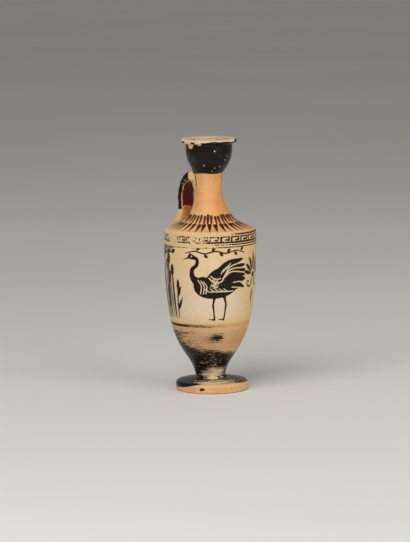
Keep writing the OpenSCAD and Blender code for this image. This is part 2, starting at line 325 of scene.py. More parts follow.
class Drawing:
    """Shapes brushed on a piece, each point's distance inside the nearest one, and how thin its paint is."""

    def __init__(self, across, height):
        self.across = across
        self.height = height
        self.paint = np.full(across.shape, FAR)
        self.cut = np.full(across.shape, FAR)
        self.thin = np.zeros(across.shape)

    def near(self, middle, reach):
        """The points within reach of a place, and how far across and above it they are."""
        across = wrapped(self.across - middle[0], ROUND)
        height = self.height - middle[1]
        chosen = np.flatnonzero((np.abs(across) < reach) & (np.abs(height) < reach))
        return chosen, across[chosen], height[chosen]

    def lay(self, chosen, inside, thin, cut):
        """Lays paint, or a scratch through it, on the chosen points."""
        if cut:
            self.cut[chosen] = np.maximum(self.cut[chosen], inside)
            return
        nearer = inside > self.paint[chosen]
        self.thin[chosen[nearer]] = thin
        self.paint[chosen] = np.maximum(self.paint[chosen], inside)

    def taper(self, start, end, start_r, end_r, thin=0.0, cut=False):
        """A straight stroke whose half-width goes from start_r to end_r."""
        start, end = np.array(start, float), np.array(end, float)
        middle = (start + end) / 2
        span = end - start
        reach = np.hypot(*span) / 2 + max(start_r, end_r) + 1.5
        chosen, across, height = self.near(middle, reach)
        across, height = across + span[0] / 2, height + span[1] / 2
        share = unit((across * span[0] + height * span[1]) / max(span @ span, 1e-9))
        off = np.hypot(across - share * span[0], height - share * span[1])
        self.lay(chosen, start_r + share * (end_r - start_r) - off, thin, cut)

    def stroke(self, points, widths, thin=0.0, cut=False):
        """A curved stroke through the points, with its widths spread evenly along it."""
        path = curve_through(np.array(points, float), 0.8)
        half = np.interp(np.linspace(0, 1, len(path)), np.linspace(0, 1, len(widths)), widths) / 2
        for i in range(len(path) - 1):
            self.taper(path[i], path[i + 1], half[i], half[i + 1], thin, cut)

    def oval(self, middle, radii, tilt=0.0, thin=0.0, cut=False):
        """A filled oval, tilted by so many degrees."""
        chosen, across, height = self.near(middle, max(radii) + 1.5)
        c, s = math.cos(math.radians(tilt)), math.sin(math.radians(tilt))
        long, wide = (across * c + height * s) / radii[0], (height * c - across * s) / radii[1]
        share = np.hypot(long, wide)
        slope = np.hypot(long / radii[0], wide / radii[1]) / np.maximum(share, 1e-6)
        self.lay(chosen, (1 - share) / np.maximum(slope, 1e-6), thin, cut)

    def band(self, low, high, thin=0.0, sway=0.0):
        """A band brushed while the vase turned, its edges swaying by so much in one turn."""
        drift = sway * np.sin(self.across * TURN / ROUND + 0.7)
        inside = np.minimum(self.height - low - drift, high + drift - self.height)
        self.lay(np.arange(len(inside)), inside, thin, False)


# Ornament

def around(across, places, values):
    """Values given at places across the unrolled body, with even change between them and round the back."""
    return np.interp(across, places, values, period=ROUND)


def patch(across, height, middle, size):
    """1 at the middle of a soft round patch, falling to 0 round it."""
    off = wrapped(across - middle[0], ROUND)
    return np.exp(-(off / size[0]) ** 2 - ((height - middle[1]) / size[1]) ** 2)


def meander(drawing, low, high, cells, width):
    """A running key: square hooks on a base line, each drawn a little off by hand."""
    drift = np.random.default_rng(7)
    step = ROUND / cells
    half = width / 2
    hook = [(0, 0), (0, 1), (0.74, 1), (0.74, 0.42), (0.38, 0.42)]
    for cell in range(cells):
        start = -ROUND / 2 + cell * step
        places = []
        for x, z in hook:
            off = drift.normal(0, 0.1), drift.normal(0, 0.1)
            places.append((start + x * step + off[0], low + z * (high - low) + off[1]))
        for a, b in zip(places, places[1:]):
            drawing.taper(a, b, half, half * drift.uniform(0.8, 1.15), thin=0.25)
        drawing.taper(places[0], (start + step, low), half, half, thin=0.25)


def palmette(drawing, base, size, petals, thin):
    """A fan of petals over a heart, between two volutes."""
    x, z = base
    drawing.oval(base, (size * 0.16, size * 0.13), 0, thin)
    for i in range(petals):
        fan = math.radians(-75 + 150 * i / (petals - 1))
        out, up = size * math.sin(fan), size * math.cos(fan)
        reach = 1.0 - 0.28 * abs(math.sin(fan))
        ends = [(x + 0.24 * out, z + 0.24 * up), (x + reach * out, z + reach * up)]
        drawing.stroke(ends, [0.06 * size, 0.16 * size, 0.20 * size, 0.10 * size], thin)
    for hand in (-1, 1):
        curl = []
        for k in range(9):
            wind, shrink = 0.75 * k + 2.6, 0.30 - 0.035 * k
            curl.append((x + hand * size * (0.42 + shrink * math.cos(wind)),
                         z + size * (shrink * math.sin(wind) - 0.32)))
        drawing.stroke(curl, [0.10 * size, 0.09 * size, 0.07 * size], thin)


def leaf(drawing, root, tip, width, thin):
    """A leaf that swells from its root and ends in a point."""
    drawing.stroke([root, tip], [0.2, width, width * 0.8, 0.15], thin)


def reeds(drawing, across, ground, top):
    """A clump of reeds: long strokes, some thick and black, some thin and brown, with heads and leaves."""
    drift = np.random.default_rng(11)
    for offset, share, width, thin in ((-9.0, 0.98, 4.2, 0.0), (-5.0, 0.80, 1.9, 0.4), (-2.2, 0.90, 3.6, 0.0),
                                       (1.4, 0.64, 1.6, 0.5), (4.0, 0.74, 2.6, 0.2), (7.2, 0.52, 1.7, 0.2)):
        high = ground + (top - ground) * share
        sway = drift.uniform(-1.6, 1.6)
        stem = [(across + offset, ground), (across + offset + 0.3 * sway, ground + 0.45 * (high - ground)),
                (across + offset + sway, high)]
        drawing.stroke(stem, [width * 0.5, width * 0.9, width * 0.75, width * 0.45], thin)
        drawing.oval((across + offset + sway, high - 1.5), (4.2, 0.6 + 0.5 * width), 90, thin * 0.6)
    for offset, low, tip_out, tip_up in ((-9, 24, -5.0, 10), (-9, 6, -5.5, 8),
                                         (7.2, 5, 5.4, 10), (7.4, 14, 4.2, 9)):
        root = (across + offset, ground + low)
        leaf(drawing, root, (root[0] + tip_out, root[1] + tip_up), 2.6, 0.2)


def spray(drawing, root, reach, thin):
    """Ivy leaves on short stalks that spread from one root."""
    for k, angle in enumerate(range(15, 190, 28)):
        far = reach * (0.75 + 0.25 * (k % 2))
        tip = (root[0] + far * math.cos(math.radians(angle)), root[1] + far * math.sin(math.radians(angle)))
        drawing.taper(root, tip, 0.5, 0.35, thin)
        drawing.oval(tip, (2.2, 1.4), angle + 20 * (-1) ** k, thin * (k % 2))


def vine(drawing, start, end, height, thin):
    """A waving stem with ivy leaves above and below it."""
    wave = [(u, height + 0.8 * math.sin(u * 0.42)) for u in np.arange(start, end, 2.0)]
    drawing.stroke(wave, [0.8, 1.2, 0.8], thin)
    for k, u in enumerate(np.arange(start + 3, end - 2, 5.4)):
        hand = 1 if k % 2 else -1
        z = height + 0.8 * math.sin(u * 0.42)
        drawing.taper((u, z), (u + 0.9, z + hand * 1.3), 0.3, 0.3, thin)
        drawing.oval((u + 1.2, z + hand * 1.9), (1.6, 1.05), hand * 40, thin)


def crane(drawing, middle, facing, ground, size):
    """A long-legged bird with one wing raised and scratched feathers, that faces left (-1) or right (1)."""
    def at(x, z):
        return middle[0] - facing * x * size, middle[1] + z * size

    def brush(points, widths, cut=False):
        drawing.stroke([at(*point) for point in points], [width * size for width in widths], cut=cut)

    def blob(place, radii, tilt, cut=False):
        drawing.oval(at(*place), (radii[0] * size, radii[1] * size), -facing * tilt, cut=cut)

    blob((0, 0), (14.0, 6.8), 8)
    blob((-8.5, 0.3), (6.6, 6.0), -20)
    brush([(8, 2.0), (14, 3.8), (19, 4.2)], [8.5, 5.4, 1.6])
    brush([(8, 0.6), (14, 0.6), (18.2, -0.6)], [7.5, 4.6, 1.4])
    feathers = [(16.5, 16.2), (18.4, 12.6), (19.2, 9.4), (18.6, 6.6)]
    for x, z in feathers:
        brush([(-3, 3.5), (5 + 0.1 * x, 3.5 + z * 0.62), (x, z)], [4.0, 5.0, 4.2, 1.6])
    blob((0, 6.0), (8.0, 4.8), 34)
    brush([(-11, 2), (-15.4, 6.0), (-15.6, 10.5), (-12.6, 13.6), (-12.4, 16.6), (-15.2, 18.2)],
          [6.4, 4.2, 2.9, 2.3, 2.1, 2.3])
    blob((-15.8, 18.2), (2.6, 1.55), -14)
    drawing.taper(at(-17.6, 17.8), at(-22.0, 16.2), 0.65 * size, 0.12 * size)
    low = (ground - middle[1]) / size
    for root, knee, heel, toe in (((-1.5, -4.5), (-2.8, -11.0), -1.6, -5.4),
                                  ((4.0, -4.5), (5.6, -10.5), 4.6, 0.8)):
        brush([root, knee], [3.0, 1.5, 1.1])
        brush([knee, (heel, low)], [1.35, 1.05, 1.05])
        brush([(heel, low), (toe, low + 0.3)], [1.1, 0.6])
    for (x, z), (x2, z2) in zip(feathers, feathers[1:]):
        between = ((x + x2) / 2 - 0.4, (z + z2) / 2)
        brush([(3.5, 5.2), (8, 4.6 + (z + z2) * 0.25), between], [0.6], cut=True)
    brush([(-5.2, 5.5), (-2.0, 3.0), (2.6, 3.4), (4.4, 6.4)], [0.65], cut=True)
    brush([(-4.2, 6.8), (-1.4, 4.8), (2.0, 5.2)], [0.55], cut=True)
    for shift in (-3.4, 0, 2.8, 5.6, 8.4):
        brush([(-4.5 + shift, -1.0), (-1.5 + shift, -2.8), (1.9 + shift, -2.6)], [0.45], cut=True)
    for shift in (0, 1.8, 3.4):
        top = (-12.0 + shift, 4.4 - 0.3 * shift)
        brush([top, (-10.0 + shift, 0.6), (-10.6 + shift, -4.0)], [0.5], cut=True)
    for shift in (0, 1.5, 3.0, 4.5):
        brush([(2.2 + shift, 8.0 + 0.8 * shift), (3.8 + shift, 10.6 + 0.8 * shift)], [0.45], cut=True)
    brush([(10.2, 2.4), (14, 2.7), (17.4, 2.2)], [0.55], cut=True)
    brush([(9.4, -0.4), (13.4, -0.8), (16.8, -1.2)], [0.5], cut=True)
    blob((-15.9, 18.5), (0.5, 0.4), 0, cut=True)


# What is painted on each piece

# Distance inside the paint and inside a scratch, how thin the paint is (also a painted sheen on the mouth),
# how worn, how much white slip lies under it (also painted light and shade on the body, shoulder and neck),
# how stained the ground is (also painted shade low on the left), and how far the wear follows the wheel
FIELDS = ("paint", "cut", "thin", "wear", "slip", "stain_and_shade", "drag")


def plain(turn, **levels):
    """Fields of a bare surface, even apart from what the painting then changes."""
    levels = {"paint": FAR, "cut": FAR, **levels}
    return {key: np.full(turn.shape, levels.get(key, 0.0)) for key in FIELDS}


def frieze(across, height):
    """Everything painted on the body."""
    drawing = Drawing(across, height)
    meander(drawing, *KEY, 26, 1.4)
    drawing.band(*UPPER_LINE, thin=0.5, sway=0.15)
    drawing.band(*SECOND_LINE, thin=0.65, sway=0.2)
    reeds(drawing, -34, REED_GROUND, 100)
    reeds(drawing, -47, REED_GROUND, 90)
    spray(drawing, (-35, 98), 7.5, 0.5)
    vine(drawing, -18, 28, VINE_LEVEL, 0.45)
    crane(drawing, (5, 75.5), -1, CRANE_GROUND, 1.15)
    palmette(drawing, (38, 82), 15, 7, 0.25)
    leaf(drawing, (37, 73), (37, 61), 2.4, 0.3)
    crane(drawing, (80, 75), 1, CRANE_GROUND, 1.1)
    vine(drawing, 60, 108, VINE_LEVEL, 0.45)
    palmette(drawing, (HANDLE_ACROSS + 3, 81), 11.5, 7, 0.25)
    leaf(drawing, (HANDLE_ACROSS + 3, 74), (HANDLE_ACROSS + 3, 60), 2.8, 0.3)
    reeds(drawing, 113.5, REED_GROUND, 96)
    drawing.band(*BRUSHED_LINE, thin=0.3, sway=0.2)
    drawing.band(*LOWER_BLACK, sway=0.6)
    return drawing


def body_wear(across, height):
    """How worn the body's paint is, from the key down to the black lower wall."""
    key = around(across, [-60, -45, -38, -33, -27, -20, -12, -5, 6, 14, 30, 60, 80],
                 [0.4, 0.5, 0.3, 0.55, 0.62, 0.34, 0.54, 0.44, 0.32, 0.28, 0.12, 0.2, 0.3])
    lines = around(across, [-20, 2, 14, 60, 98], [0.4, 0.25, 0.05, 0, 0.2])
    key += unit((UPPER_LINE[1] + 0.5 - height) / 0.4) * lines
    scene = 0.16 + 0.42 * patch(across, height, (3, 78), (3.4, 4.0))
    scene += 0.1 * patch(across, height, (-38, 72), (14, 26))
    key_zone = unit((height - 102) / 1.5)
    high = scene * (1 - key_zone) + key * key_zone

    low = around(across, [-50, -42, -34, -26, -18, -8, 2, 10, 16, 24, 60, 90],
                 [0.22, 0.3, 0.42, 0.5, 0.56, 0.60, 0.62, 0.68, 0.84, 0.95, 0.85, 0.4])
    low -= 0.44 * patch(across, height, (7, 39.5), (8, 2.8))
    low += 0.1 * patch(across, height, (-14, 41), (14, 2))
    full = around(across, [-50, -20, 0, 20, 50, 98], [36, 33, 31.5, 31, 30, 34])
    low = np.where(height < full, (low - 0.22) * np.exp(-(full - height) / 2.6) + 0.22, low)
    for strength, middle, size in ((0.30, (16, 14.5), (22, 2.6)), (0.08, (4, 21), (24, 4)),
                                   (0.32, (2, 11), (34, 2.2)), (0.05, (0, 15), (28, 6))):
        low += strength * patch(across, height, middle, size)
    line = around(across, [-60, -30, -10, 8, 16, 60, 98], [0.1, 0.24, 0.4, 0.54, 0.8, 0.8, 0.2])
    return np.where(height < 46, low, np.where(height < 50, line, high))


def body_fields(turn, radius, height, shows):
    """White slip down to the brushed line, and thinner slip below it under the worn black; the slip also
    paints shade on the right and light at the front, and a grey patch on the lower left is partly painted
    shade.
    """
    fields = plain(turn)
    across = turn * BODY_R
    drawing = frieze(across, height)
    fields["paint"] = np.where(shows, drawing.paint, FAR)
    fields["cut"] = drawing.cut
    fields["thin"] = drawing.thin
    fields["wear"] = body_wear(across, height)

    # Less slip on the right paints the shade of that side and more at the front centre paints its light,
    # besides the slip's own unevenness
    shaded_right_side = around(across, [-98, 14, 44, 70], [0, 0, 1, 1])
    slip_cover_and_light = 0.92 - 0.36 * shaded_right_side + 0.26 * patch(across, height, (4, 62), (40, 18))
    below = 0.5 - 0.16 * shaded_right_side + 0.6 * unit((30 - height) / 6)
    edge = 51.5 + 0.8 * np.sin(turn * 2 + 1)
    fields["slip"] = below + (slip_cover_and_light - below) * unit((height - edge + 2.5) / 3)
    # A grey patch low on the left of the body, partly a stain and partly painted shade of that side
    grey_stain_and_shade = patch(across, height, (-22, 40), (26, 7)) + 0.4 * patch(across, height, (8, 36), (16, 6))
    fields["stain_and_shade"] = 0.12 * unit((50 - height) / 3) * (height > 31) + 0.48 * grey_stain_and_shade
    fields["drag"] = np.clip((52 - height) / 4, 0.25, 0.92)
    return fields


def wash_and_painted_light(across, height):
    """How much thin white slip clouds the clay of the shoulder and neck; its peak at the front is a painted
    highlight and its dip on the right painted shade.
    """
    # Little slip on the right paints the shade of that side, and most at the front centre of the neck paints
    # its highlight
    low = around(across, [-98, -60, -20, 20, 45, 80], [0.4, 0.6, 0.40, 0.26, 0.08, 0.35])
    high = around(across, [-60, -30, -5, 12, 24, 60], [0.25, 0.26, 0.36, 0.16, 0.02, 0.15])
    return low + (high - low) * unit((height - 117) / 14)


def tongues_and_rays(turn, radius):
    """Short tongues round the neck and long rays outside them: the paint's distance, and how thin it is."""
    drift = np.random.default_rng(3)
    paint = np.full(turn.shape, FAR)
    thin = np.zeros(turn.shape)
    for count, start, end, root_w, tip_w, thinness in ((40, 14.4, 19.0, 2.1, 1.6, 0.65),
                                                       (35, 19.9, 29.8, 3.4, 0.5, 0.35)):
        for k in range(count):
            centre = (k + 0.5) * TURN / count - math.pi + drift.normal(0, 0.012)
            swing = drift.normal(0, 0.01)
            first = start + drift.normal(0, 0.18)
            last = end + drift.normal(0, 0.5)
            share = unit((radius - first) / (last - first))
            off = wrapped(turn - centre - swing * share, TURN)
            half = (root_w + (tip_w - root_w) * share) / 2 * drift.uniform(0.88, 1.1)
            half = half * np.interp(share, [0, 0.14, 0.5, 1], [0.85, 1.06, 1.0, 0.8])
            inside = np.minimum(half - np.abs(off) * radius, np.minimum(radius - first, last - radius) + 0.25)
            nearer = inside > paint
            thin[nearer] = unit(thinness + 0.25 * share[nearer] + drift.normal(0, 0.08))
            paint = np.maximum(paint, inside)
    return paint, thin


def shoulder_fields(turn, radius, height, shows):
    """Clay with thin slip that also paints light at the front and shade on the right, the tongues and rays,
    and a worn line at the edge.
    """
    fields = plain(turn, drag=0.2)
    across = turn * BODY_R
    paint, thin = tongues_and_rays(turn, radius)
    handle_gap = np.abs(wrapped(across - HANDLE_ACROSS, ROUND)) * radius / BODY_R - 9.0
    paint = np.minimum(paint, np.where(radius > 13, handle_gap, FAR))
    line = np.where(radius > 29.5, np.minimum(height - BODY_TOP - 0.5, BODY_TOP + 1.8 - height), FAR)
    thin = np.where(line > paint, 0.7, thin)
    fields["paint"] = np.where(shows, np.maximum(paint, line), FAR)
    fields["thin"] = unit(thin + 0.45 * patch(across, height, (-40, 118), (26, 30)))
    edge_wear = around(across, [-60, -30, 5, 14, 22, 60, 80], [0.72, 0.8, 0.85, 0.62, 0.25, 0.2, 0.45])
    ray_wear = 0.04 + 0.14 * patch(across, height, (-42, 118), (16, 30))
    ray_wear += 0.1 * patch(across, height, (40, 118), (12, 30))
    fields["wear"] = np.where(radius > 30.6, edge_wear, ray_wear)
    fields["slip"] = wash_and_painted_light(across, height) + 0.3 * unit((radius - 27.5) / 3)
    return fields


def neck_fields(turn, radius, height, shows):
    """Clay with thin slip that also paints light at the front and shade on the right, a dark edge under the
    mouth, darker clay at its top and a stray stroke beside the handle.
    """
    fields = plain(turn, thin=0.85)
    across = turn * BODY_R
    fields["slip"] = wash_and_painted_light(across, height)
    top = NECK_TOP - 0.4 + 0.25 * np.sin(3 * turn)
    drawing = Drawing(turn * NECK_R, height)
    drawing.stroke([(-11.6, 151.5), (-10.9, 147), (-9.2, 140.5)], [1.1, 1.5, 1.0, 0.4])
    fields["paint"] = np.where(shows, np.maximum(height - top, drawing.paint), FAR)
    fields["wear"] = np.where(height > NECK_TOP - 2, 0.42, 0.2)
    # Darker towards the top of the neck, just under the mouth
    fields["stain_and_shade"] = 0.25 * unit((height - NECK_TOP + 6) / 4)
    return fields


def mouth_fields(turn, radius, height, shows):
    """Black outside and inside, with a bare lip, blots on its edge, worn patches and flecks below it, and a
    painted olive-brown sheen on its left.
    """
    fields = plain(turn, slip=1.05)
    across = turn * BODY_R
    burnt = np.full(turn.shape, FAR)
    for angle, size in ((79, 2.2), (-133, 1.6), (152, 1.2)):
        off = wrapped(turn - math.radians(angle), TURN)
        level = RIM_TOP - 1.4 - 0.5 * np.sin(off * 40)
        from_edge = np.hypot((radius - RIM_R) * 1.3, (height - level) * 1.1)
        burnt = np.maximum(burnt, size - np.hypot(off * radius * 0.7, from_edge))
    reserved = RIM_TOP - 1.1 + 0.25 * np.sin(5 * turn) + 0.2 * np.sin(11 * turn)
    bare = 3.4 - np.hypot((across + 28.5) * 0.55, height - 172.3)
    bare = np.maximum(bare, 2.0 - np.hypot((across + 13) * 0.5, height - 173.2))
    outside = np.minimum(np.maximum(np.minimum(reserved - height, 3.0), burnt), -bare)
    fields["paint"] = np.where(radius < RIM_R - 4.6, RIM_TOP - 4.5 - height, outside)
    top_face = (height > RIM_TOP - 0.3) & (burnt < -0.5)
    fields["paint"] = np.where(top_face | (fields["paint"] < -3), FAR, fields["paint"])
    low_edge = 0.25 * unit((NECK_TOP + 2.5 - height) / 2)
    # The patch on the left at mid-height is a painted sheen in olive brown; the low edge is thin paint
    fields["thin"] = unit(low_edge + 0.45 * patch(across, height, (-24, 161), (13, 4)))
    fields["wear"] = 0.03 + 0.12 * patch(across, height, (-14, 172), (40, 1.5))
    fields["wear"] += 0.07 * patch(across, height, (12, 161), (30, 6))
    # The lip's top is greyed, most at its inner edge
    lip_greying = 0.22 + 0.35 * patch(radius, height, (RIM_R - 4, RIM_TOP), (1.6, 3))
    fields["stain_and_shade"] = np.where(height > RIM_TOP - 2, lip_greying, 0)
    for angle, level, size in ((14, 167.5, 0.9), (-14, 157.5, 0.8), (48, 161, 0.7), (19, 155.5, 0.6),
                               (35, 156.5, 0.7), (52, 163.5, 0.5), (-62, 163.5, 0.6), (-45, 161, 0.4),
                               (12, 153.5, 0.6), (30, 164, 0.3), (120, 162, 0.8), (160, 158, 0.7),
                               (-110, 166, 0.8), (-150, 161, 0.6)):
        off = np.hypot((turn - math.radians(angle)) * radius, height - level)
        fields["cut"] = np.maximum(fields["cut"], size / 2 - off)
    return fields


def foot_fields(turn, radius, height, shows):
    """Worn black on top that runs over the edge, furthest on the left, a bare side with a brown blot, and
    painted shade low on its left.
    """
    fields = plain(turn, drag=0.95)
    across = turn * BODY_R
    spill = around(across, [-98, -54, -48, -36, -26, -18, -10, 22, 30, 44, 60],
                   [5.0, 3.6, 2.4, 2.9, 3.9, 5.4, 6.6, 6.6, 6.1, 5.5, 5.3])
    fields["paint"] = np.where(shows & (height > 1.5), height - spill, FAR)
    scratched = patch(across, radius, (2, 20), (24, 5))
    fields["wear"] = np.where(height > 6.2, 0.3 + 0.34 * scratched, 0.1)
    fields["wear"] -= 0.2 * patch(across, radius, (-42, 23), (22, 6))
    side = around(across, [-50, -20, 20, 50], [0.6, 0.42, 0.42, 0.66])
    fields["slip"] = np.where(height > 6.6, 1.0, side)
    blot = 1.15 - np.hypot((across + 9) * 0.46 + 0.2 * np.sin(height * 3),
                           height - 3.2 + 0.15 * np.sin(across * 2.2))
    fields["paint"] = np.maximum(fields["paint"], np.where(shows, blot, FAR))
    fields["thin"] = np.where(blot > -0.6, 0.42, 0)
    fields["stain_and_shade"] = 0.2 * (height < 1) + 0.16 * (height > 6.6)
    fields["stain_and_shade"] += 0.3 * patch(across, height, (44, 5), (8, 3))
    # Darker low on the left of the foot: painted shade
    fields["stain_and_shade"] += 0.24 * patch(across, height, (-40, 4), (18, 4))
    return fields


def slip_fields(turn, radius, height, shows):
    """The coil round the stem, black and worn to its slip at the front."""
    fields = plain(turn, paint=2.0, thin=0.2, slip=0.9, drag=0.9)
    fields["wear"] = 0.26 + 0.34 * patch(turn * BODY_R, height, (3, 9), (16, 3))
    return fields


def fringe_fields(turn, radius, height, shows):
    """The coil under the mouth, brown at the mouth's edge and bare below."""
    fields = plain(turn, thin=0.75, slip=0.2)
    fields["paint"] = height - NECK_TOP + 1.0 + 0.3 * np.sin(4 * turn)
    return fields


# Materials

class Wire:
    """A number or colour on its way between nodes, so that a shader's sums are written as sums."""

    def __init__(self, graph, socket):
        self.graph = graph
        self.socket = socket

    def __add__(self, other):
        return self.graph.sum("ADD", self, other)

    def __sub__(self, other):
        return self.graph.sum("SUBTRACT", self, other)

    def __rsub__(self, other):
        return self.graph.sum("SUBTRACT", other, self)

    def __mul__(self, other):
        return self.graph.sum("MULTIPLY", self, other)

    __radd__ = __add__
    __rmul__ = __mul__


class Graph:
    """A material's nodes, written from the place on the object in mm."""

    def __init__(self, name):
        self.material = bpy.data.materials.new(name)
        self.material.use_nodes = True
        self.tree = self.material.node_tree
        self.shader = self.tree.nodes["Principled BSDF"]
        coordinates = self.node("TexCoord")
        self.place = self.stretched(Wire(self, coordinates.outputs["Object"]), (1 / MM, 1 / MM, 1 / MM))
        self.wheel = self.along_wheel()

    def node(self, kind):
        """A new node of this kind."""
        return self.tree.nodes.new("ShaderNode" + kind)

    def along_wheel(self):
        """The place, its distance from the axis added to its height, so that streaks ring flat parts too."""
        flat = self.node("VectorMath")
        flat.operation = "LENGTH"
        self.plug(flat.inputs[0], self.stretched(self.place, (1, 1, 0)))
        apart = self.node("SeparateXYZ")
        self.plug(apart.inputs[0], self.place)
        x, y, z = (Wire(self, output) for output in apart.outputs)
        joined = self.node("CombineXYZ")
        self.plug(joined.inputs[0], x)
        self.plug(joined.inputs[1], y)
        self.plug(joined.inputs[2], z + Wire(self, flat.outputs["Value"]))
        return Wire(self, joined.outputs[0])

    def plug(self, socket, value):
        """Links a wire to the socket, or sets the socket to a number or colour."""
        if isinstance(value, Wire):
            self.tree.links.new(value.socket, socket)
        elif isinstance(value, tuple):
            socket.default_value = value if len(socket.default_value) == len(value) else (*value, 1.0)
        else:
            socket.default_value = value

    def sum(self, operation, a, b):
        """One step of arithmetic."""
        node = self.node("Math")
        node.operation = operation
        self.plug(node.inputs[0], a)
        self.plug(node.inputs[1], b)
        return Wire(self, node.outputs[0])

    def stretched(self, place, scale):
        """The place with each axis multiplied."""
        node = self.node("VectorMath")
        node.operation = "MULTIPLY"
        self.plug(node.inputs[0], place)
        node.inputs[1].default_value = scale
        return Wire(self, node.outputs[0])

    def noise(self, scale, detail=3.0, roughness=0.55, stretch=None):
        """Noise of so many waves a mm, or stretched along the wheel."""
        node = self.node("TexNoise")
        self.plug(node.inputs["Vector"], self.stretched(self.wheel, stretch) if stretch else self.place)
        node.inputs["Scale"].default_value = scale
        node.inputs["Detail"].default_value = detail
        node.inputs["Roughness"].default_value = roughness
        return Wire(self, node.outputs["Fac"])

    def field(self, name):
        """One of the painted fields."""
        node = self.node("Attribute")
        node.attribute_name = name
        return Wire(self, node.outputs["Fac"])

    def step(self, value, low, high):
        """0 below low, 1 above high, and smooth between."""
        node = self.node("MapRange")
        node.interpolation_type = "SMOOTHSTEP"
        self.plug(node.inputs["Value"], value)
        self.plug(node.inputs["From Min"], low)
        self.plug(node.inputs["From Max"], high)
        return Wire(self, node.outputs["Result"])

    def mix(self, share, a, b):
        """The colour a, turning into b as share goes from 0 to 1."""
        node = self.node("Mix")
        node.data_type = "RGBA"
        self.plug(node.inputs[0], share)
        self.plug(node.inputs[6], a)
        self.plug(node.inputs[7], b)
        return Wire(self, node.outputs[2])

    def bump(self, height):
        """A relief given in mm."""
        node = self.node("Bump")
        node.inputs["Distance"].default_value = MM
        self.plug(node.inputs["Height"], height)
        return Wire(self, node.outputs["Normal"])


# Colours: the fired clay, the white slip over it, what wear leaves (also the colour of painted shade), and
# the gloss from thick to thin, whose olive brown on the mouth also paints its sheen
CLAY = (0.70, 0.340, 0.120)
DEEP_CLAY = (0.61, 0.262, 0.082)
CREAM = (0.70, 0.55, 0.40)
WARM_CREAM = (0.71, 0.50, 0.26)
WORN_CLAY_AND_SHADE = (0.38, 0.235, 0.145)
BLACK = (0.0080, 0.0058, 0.0046)
BROWN = (0.078, 0.030, 0.012)
OLIVE_BROWN_AND_SHEEN = (0.060, 0.038, 0.018)
RED_BROWN = (0.115, 0.013, 0.006)

BARE_ROUGHNESS = 0.64
GLOSS_ROUGHNESS = 0.2


def fired(name, brown=BROWN):
    """Fired clay under slip and black gloss, as the painted fields lay them on, worn and grainy, with the
    painted light and shade that some fields also carry.
    """
    g = Graph(name)
    paint, cut, thin, wear, slip, stain_and_shade, drag = (g.field(key) for key in FIELDS)
    grain = g.noise(2.6, 4)
    flecks = g.noise(0.75, 5, 0.6)
    broad = g.noise(0.07, 3)
    streaks = g.noise(1.0, 4, 0.6, stretch=(0.10, 0.10, 1.5))
    hairs = g.noise(1.0, 3, 0.6, stretch=(0.35, 0.35, 5.0))

    inside = paint + (grain - 0.5) * 0.4 + (flecks - 0.5) * 0.35
    covered = g.step(inside, -0.08, 0.12)
    scratched = g.step(cut + (grain - 0.5) * 0.45, -0.2, 0.08)
    hold = (streaks * 0.55 + hairs * 0.45) * drag + flecks * (1 - drag) + (grain - 0.5) * 0.12
    limit = wear * 0.56 + 0.24
    kept = g.step(hold - limit, -0.012, 0.02)
    gloss = covered * kept * (1 - scratched)

    slipped = g.step(slip + (flecks - 0.5) * 0.6 + (streaks - 0.5) * 0.5, 0.1, 0.8)
    body = g.mix(g.step(broad, 0.38, 0.62), CLAY, DEEP_CLAY)
    cream = g.mix(g.step(flecks * 0.5 + broad * 0.5 + (slip - 1) * 0.8, 0.38, 0.64), WARM_CREAM, CREAM)
    ground = g.mix(slipped, body, cream)
    specks = g.step(g.noise(1.5, 2), 0.66, 0.72)
    ground = g.mix(specks * 0.35, ground, WORN_CLAY_AND_SHADE)
    # Stained ground turns to worn clay; where the field holds painted shade, this darkening is painted shade
    ground = g.mix(stain_and_shade * g.step(streaks, 0.3, 0.7) * 1.6, ground, WORN_CLAY_AND_SHADE)
    ground = g.mix(g.step(hairs, 0.56, 0.7) * (drag * 0.34 + 0.06), ground, WORN_CLAY_AND_SHADE)
    residue = covered * (1 - kept) * g.step(grain, 0.4, 0.7) * 0.35
    ground = g.mix(residue, ground, brown)

    rim = 1 - g.step(inside, 0.02, 0.38)
    scant = 1 - g.step(hold - limit, 0.0, 0.09)
    dilute = g.step(thin + rim * 0.55 + scant * 0.35 + (flecks - 0.5) * 0.5, 0.15, 0.95)
    coat = g.mix(dilute, BLACK, brown)
    g.shader.inputs["Specular IOR Level"].default_value = 0.18
    g.plug(g.shader.inputs["Base Color"], g.mix(gloss, ground, coat))
    shine = gloss * (BARE_ROUGHNESS - GLOSS_ROUGHNESS) - dilute * gloss * 0.3
    g.plug(g.shader.inputs["Roughness"], BARE_ROUGHNESS - shine + (grain - 0.5) * 0.12)
    relief = grain * 0.035 + flecks * 0.05 + streaks * 0.07 + hairs * 0.02 + gloss * 0.03 - scratched * 0.04
    g.plug(g.shader.inputs["Normal"], g.bump(relief))
    return g.material


def plain_slip(name):
    """The matt coils of slip inside the vase."""
    g = Graph(name)
    grain = g.noise(3.0, 4)
    lumps = g.noise(0.4, 3)
    colour = g.mix(g.step(lumps, 0.35, 0.65), (0.60, 0.34, 0.17), (0.50, 0.27, 0.13))
    g.plug(g.shader.inputs["Base Color"], colour)
    g.shader.inputs["Roughness"].default_value = 0.8
    g.plug(g.shader.inputs["Normal"], g.bump(grain * 0.08 + lumps * 0.3))
    return g.material


def dress(piece, material):
    """Gives a piece its material."""
    piece.data.materials.clear()
    piece.data.materials.append(material)


# Pieces

def even(spacing):
    """The same spacing everywhere on an outline."""
    return lambda radius, height: np.full(np.shape(radius), float(spacing))


def body_spacing(radius, height):
    """The body's outline is finest where the key and frieze are painted."""
    return np.where(height > 103, 0.34, np.where(height > 58, 0.46, np.where(height > 50, 0.8, 1.2)))


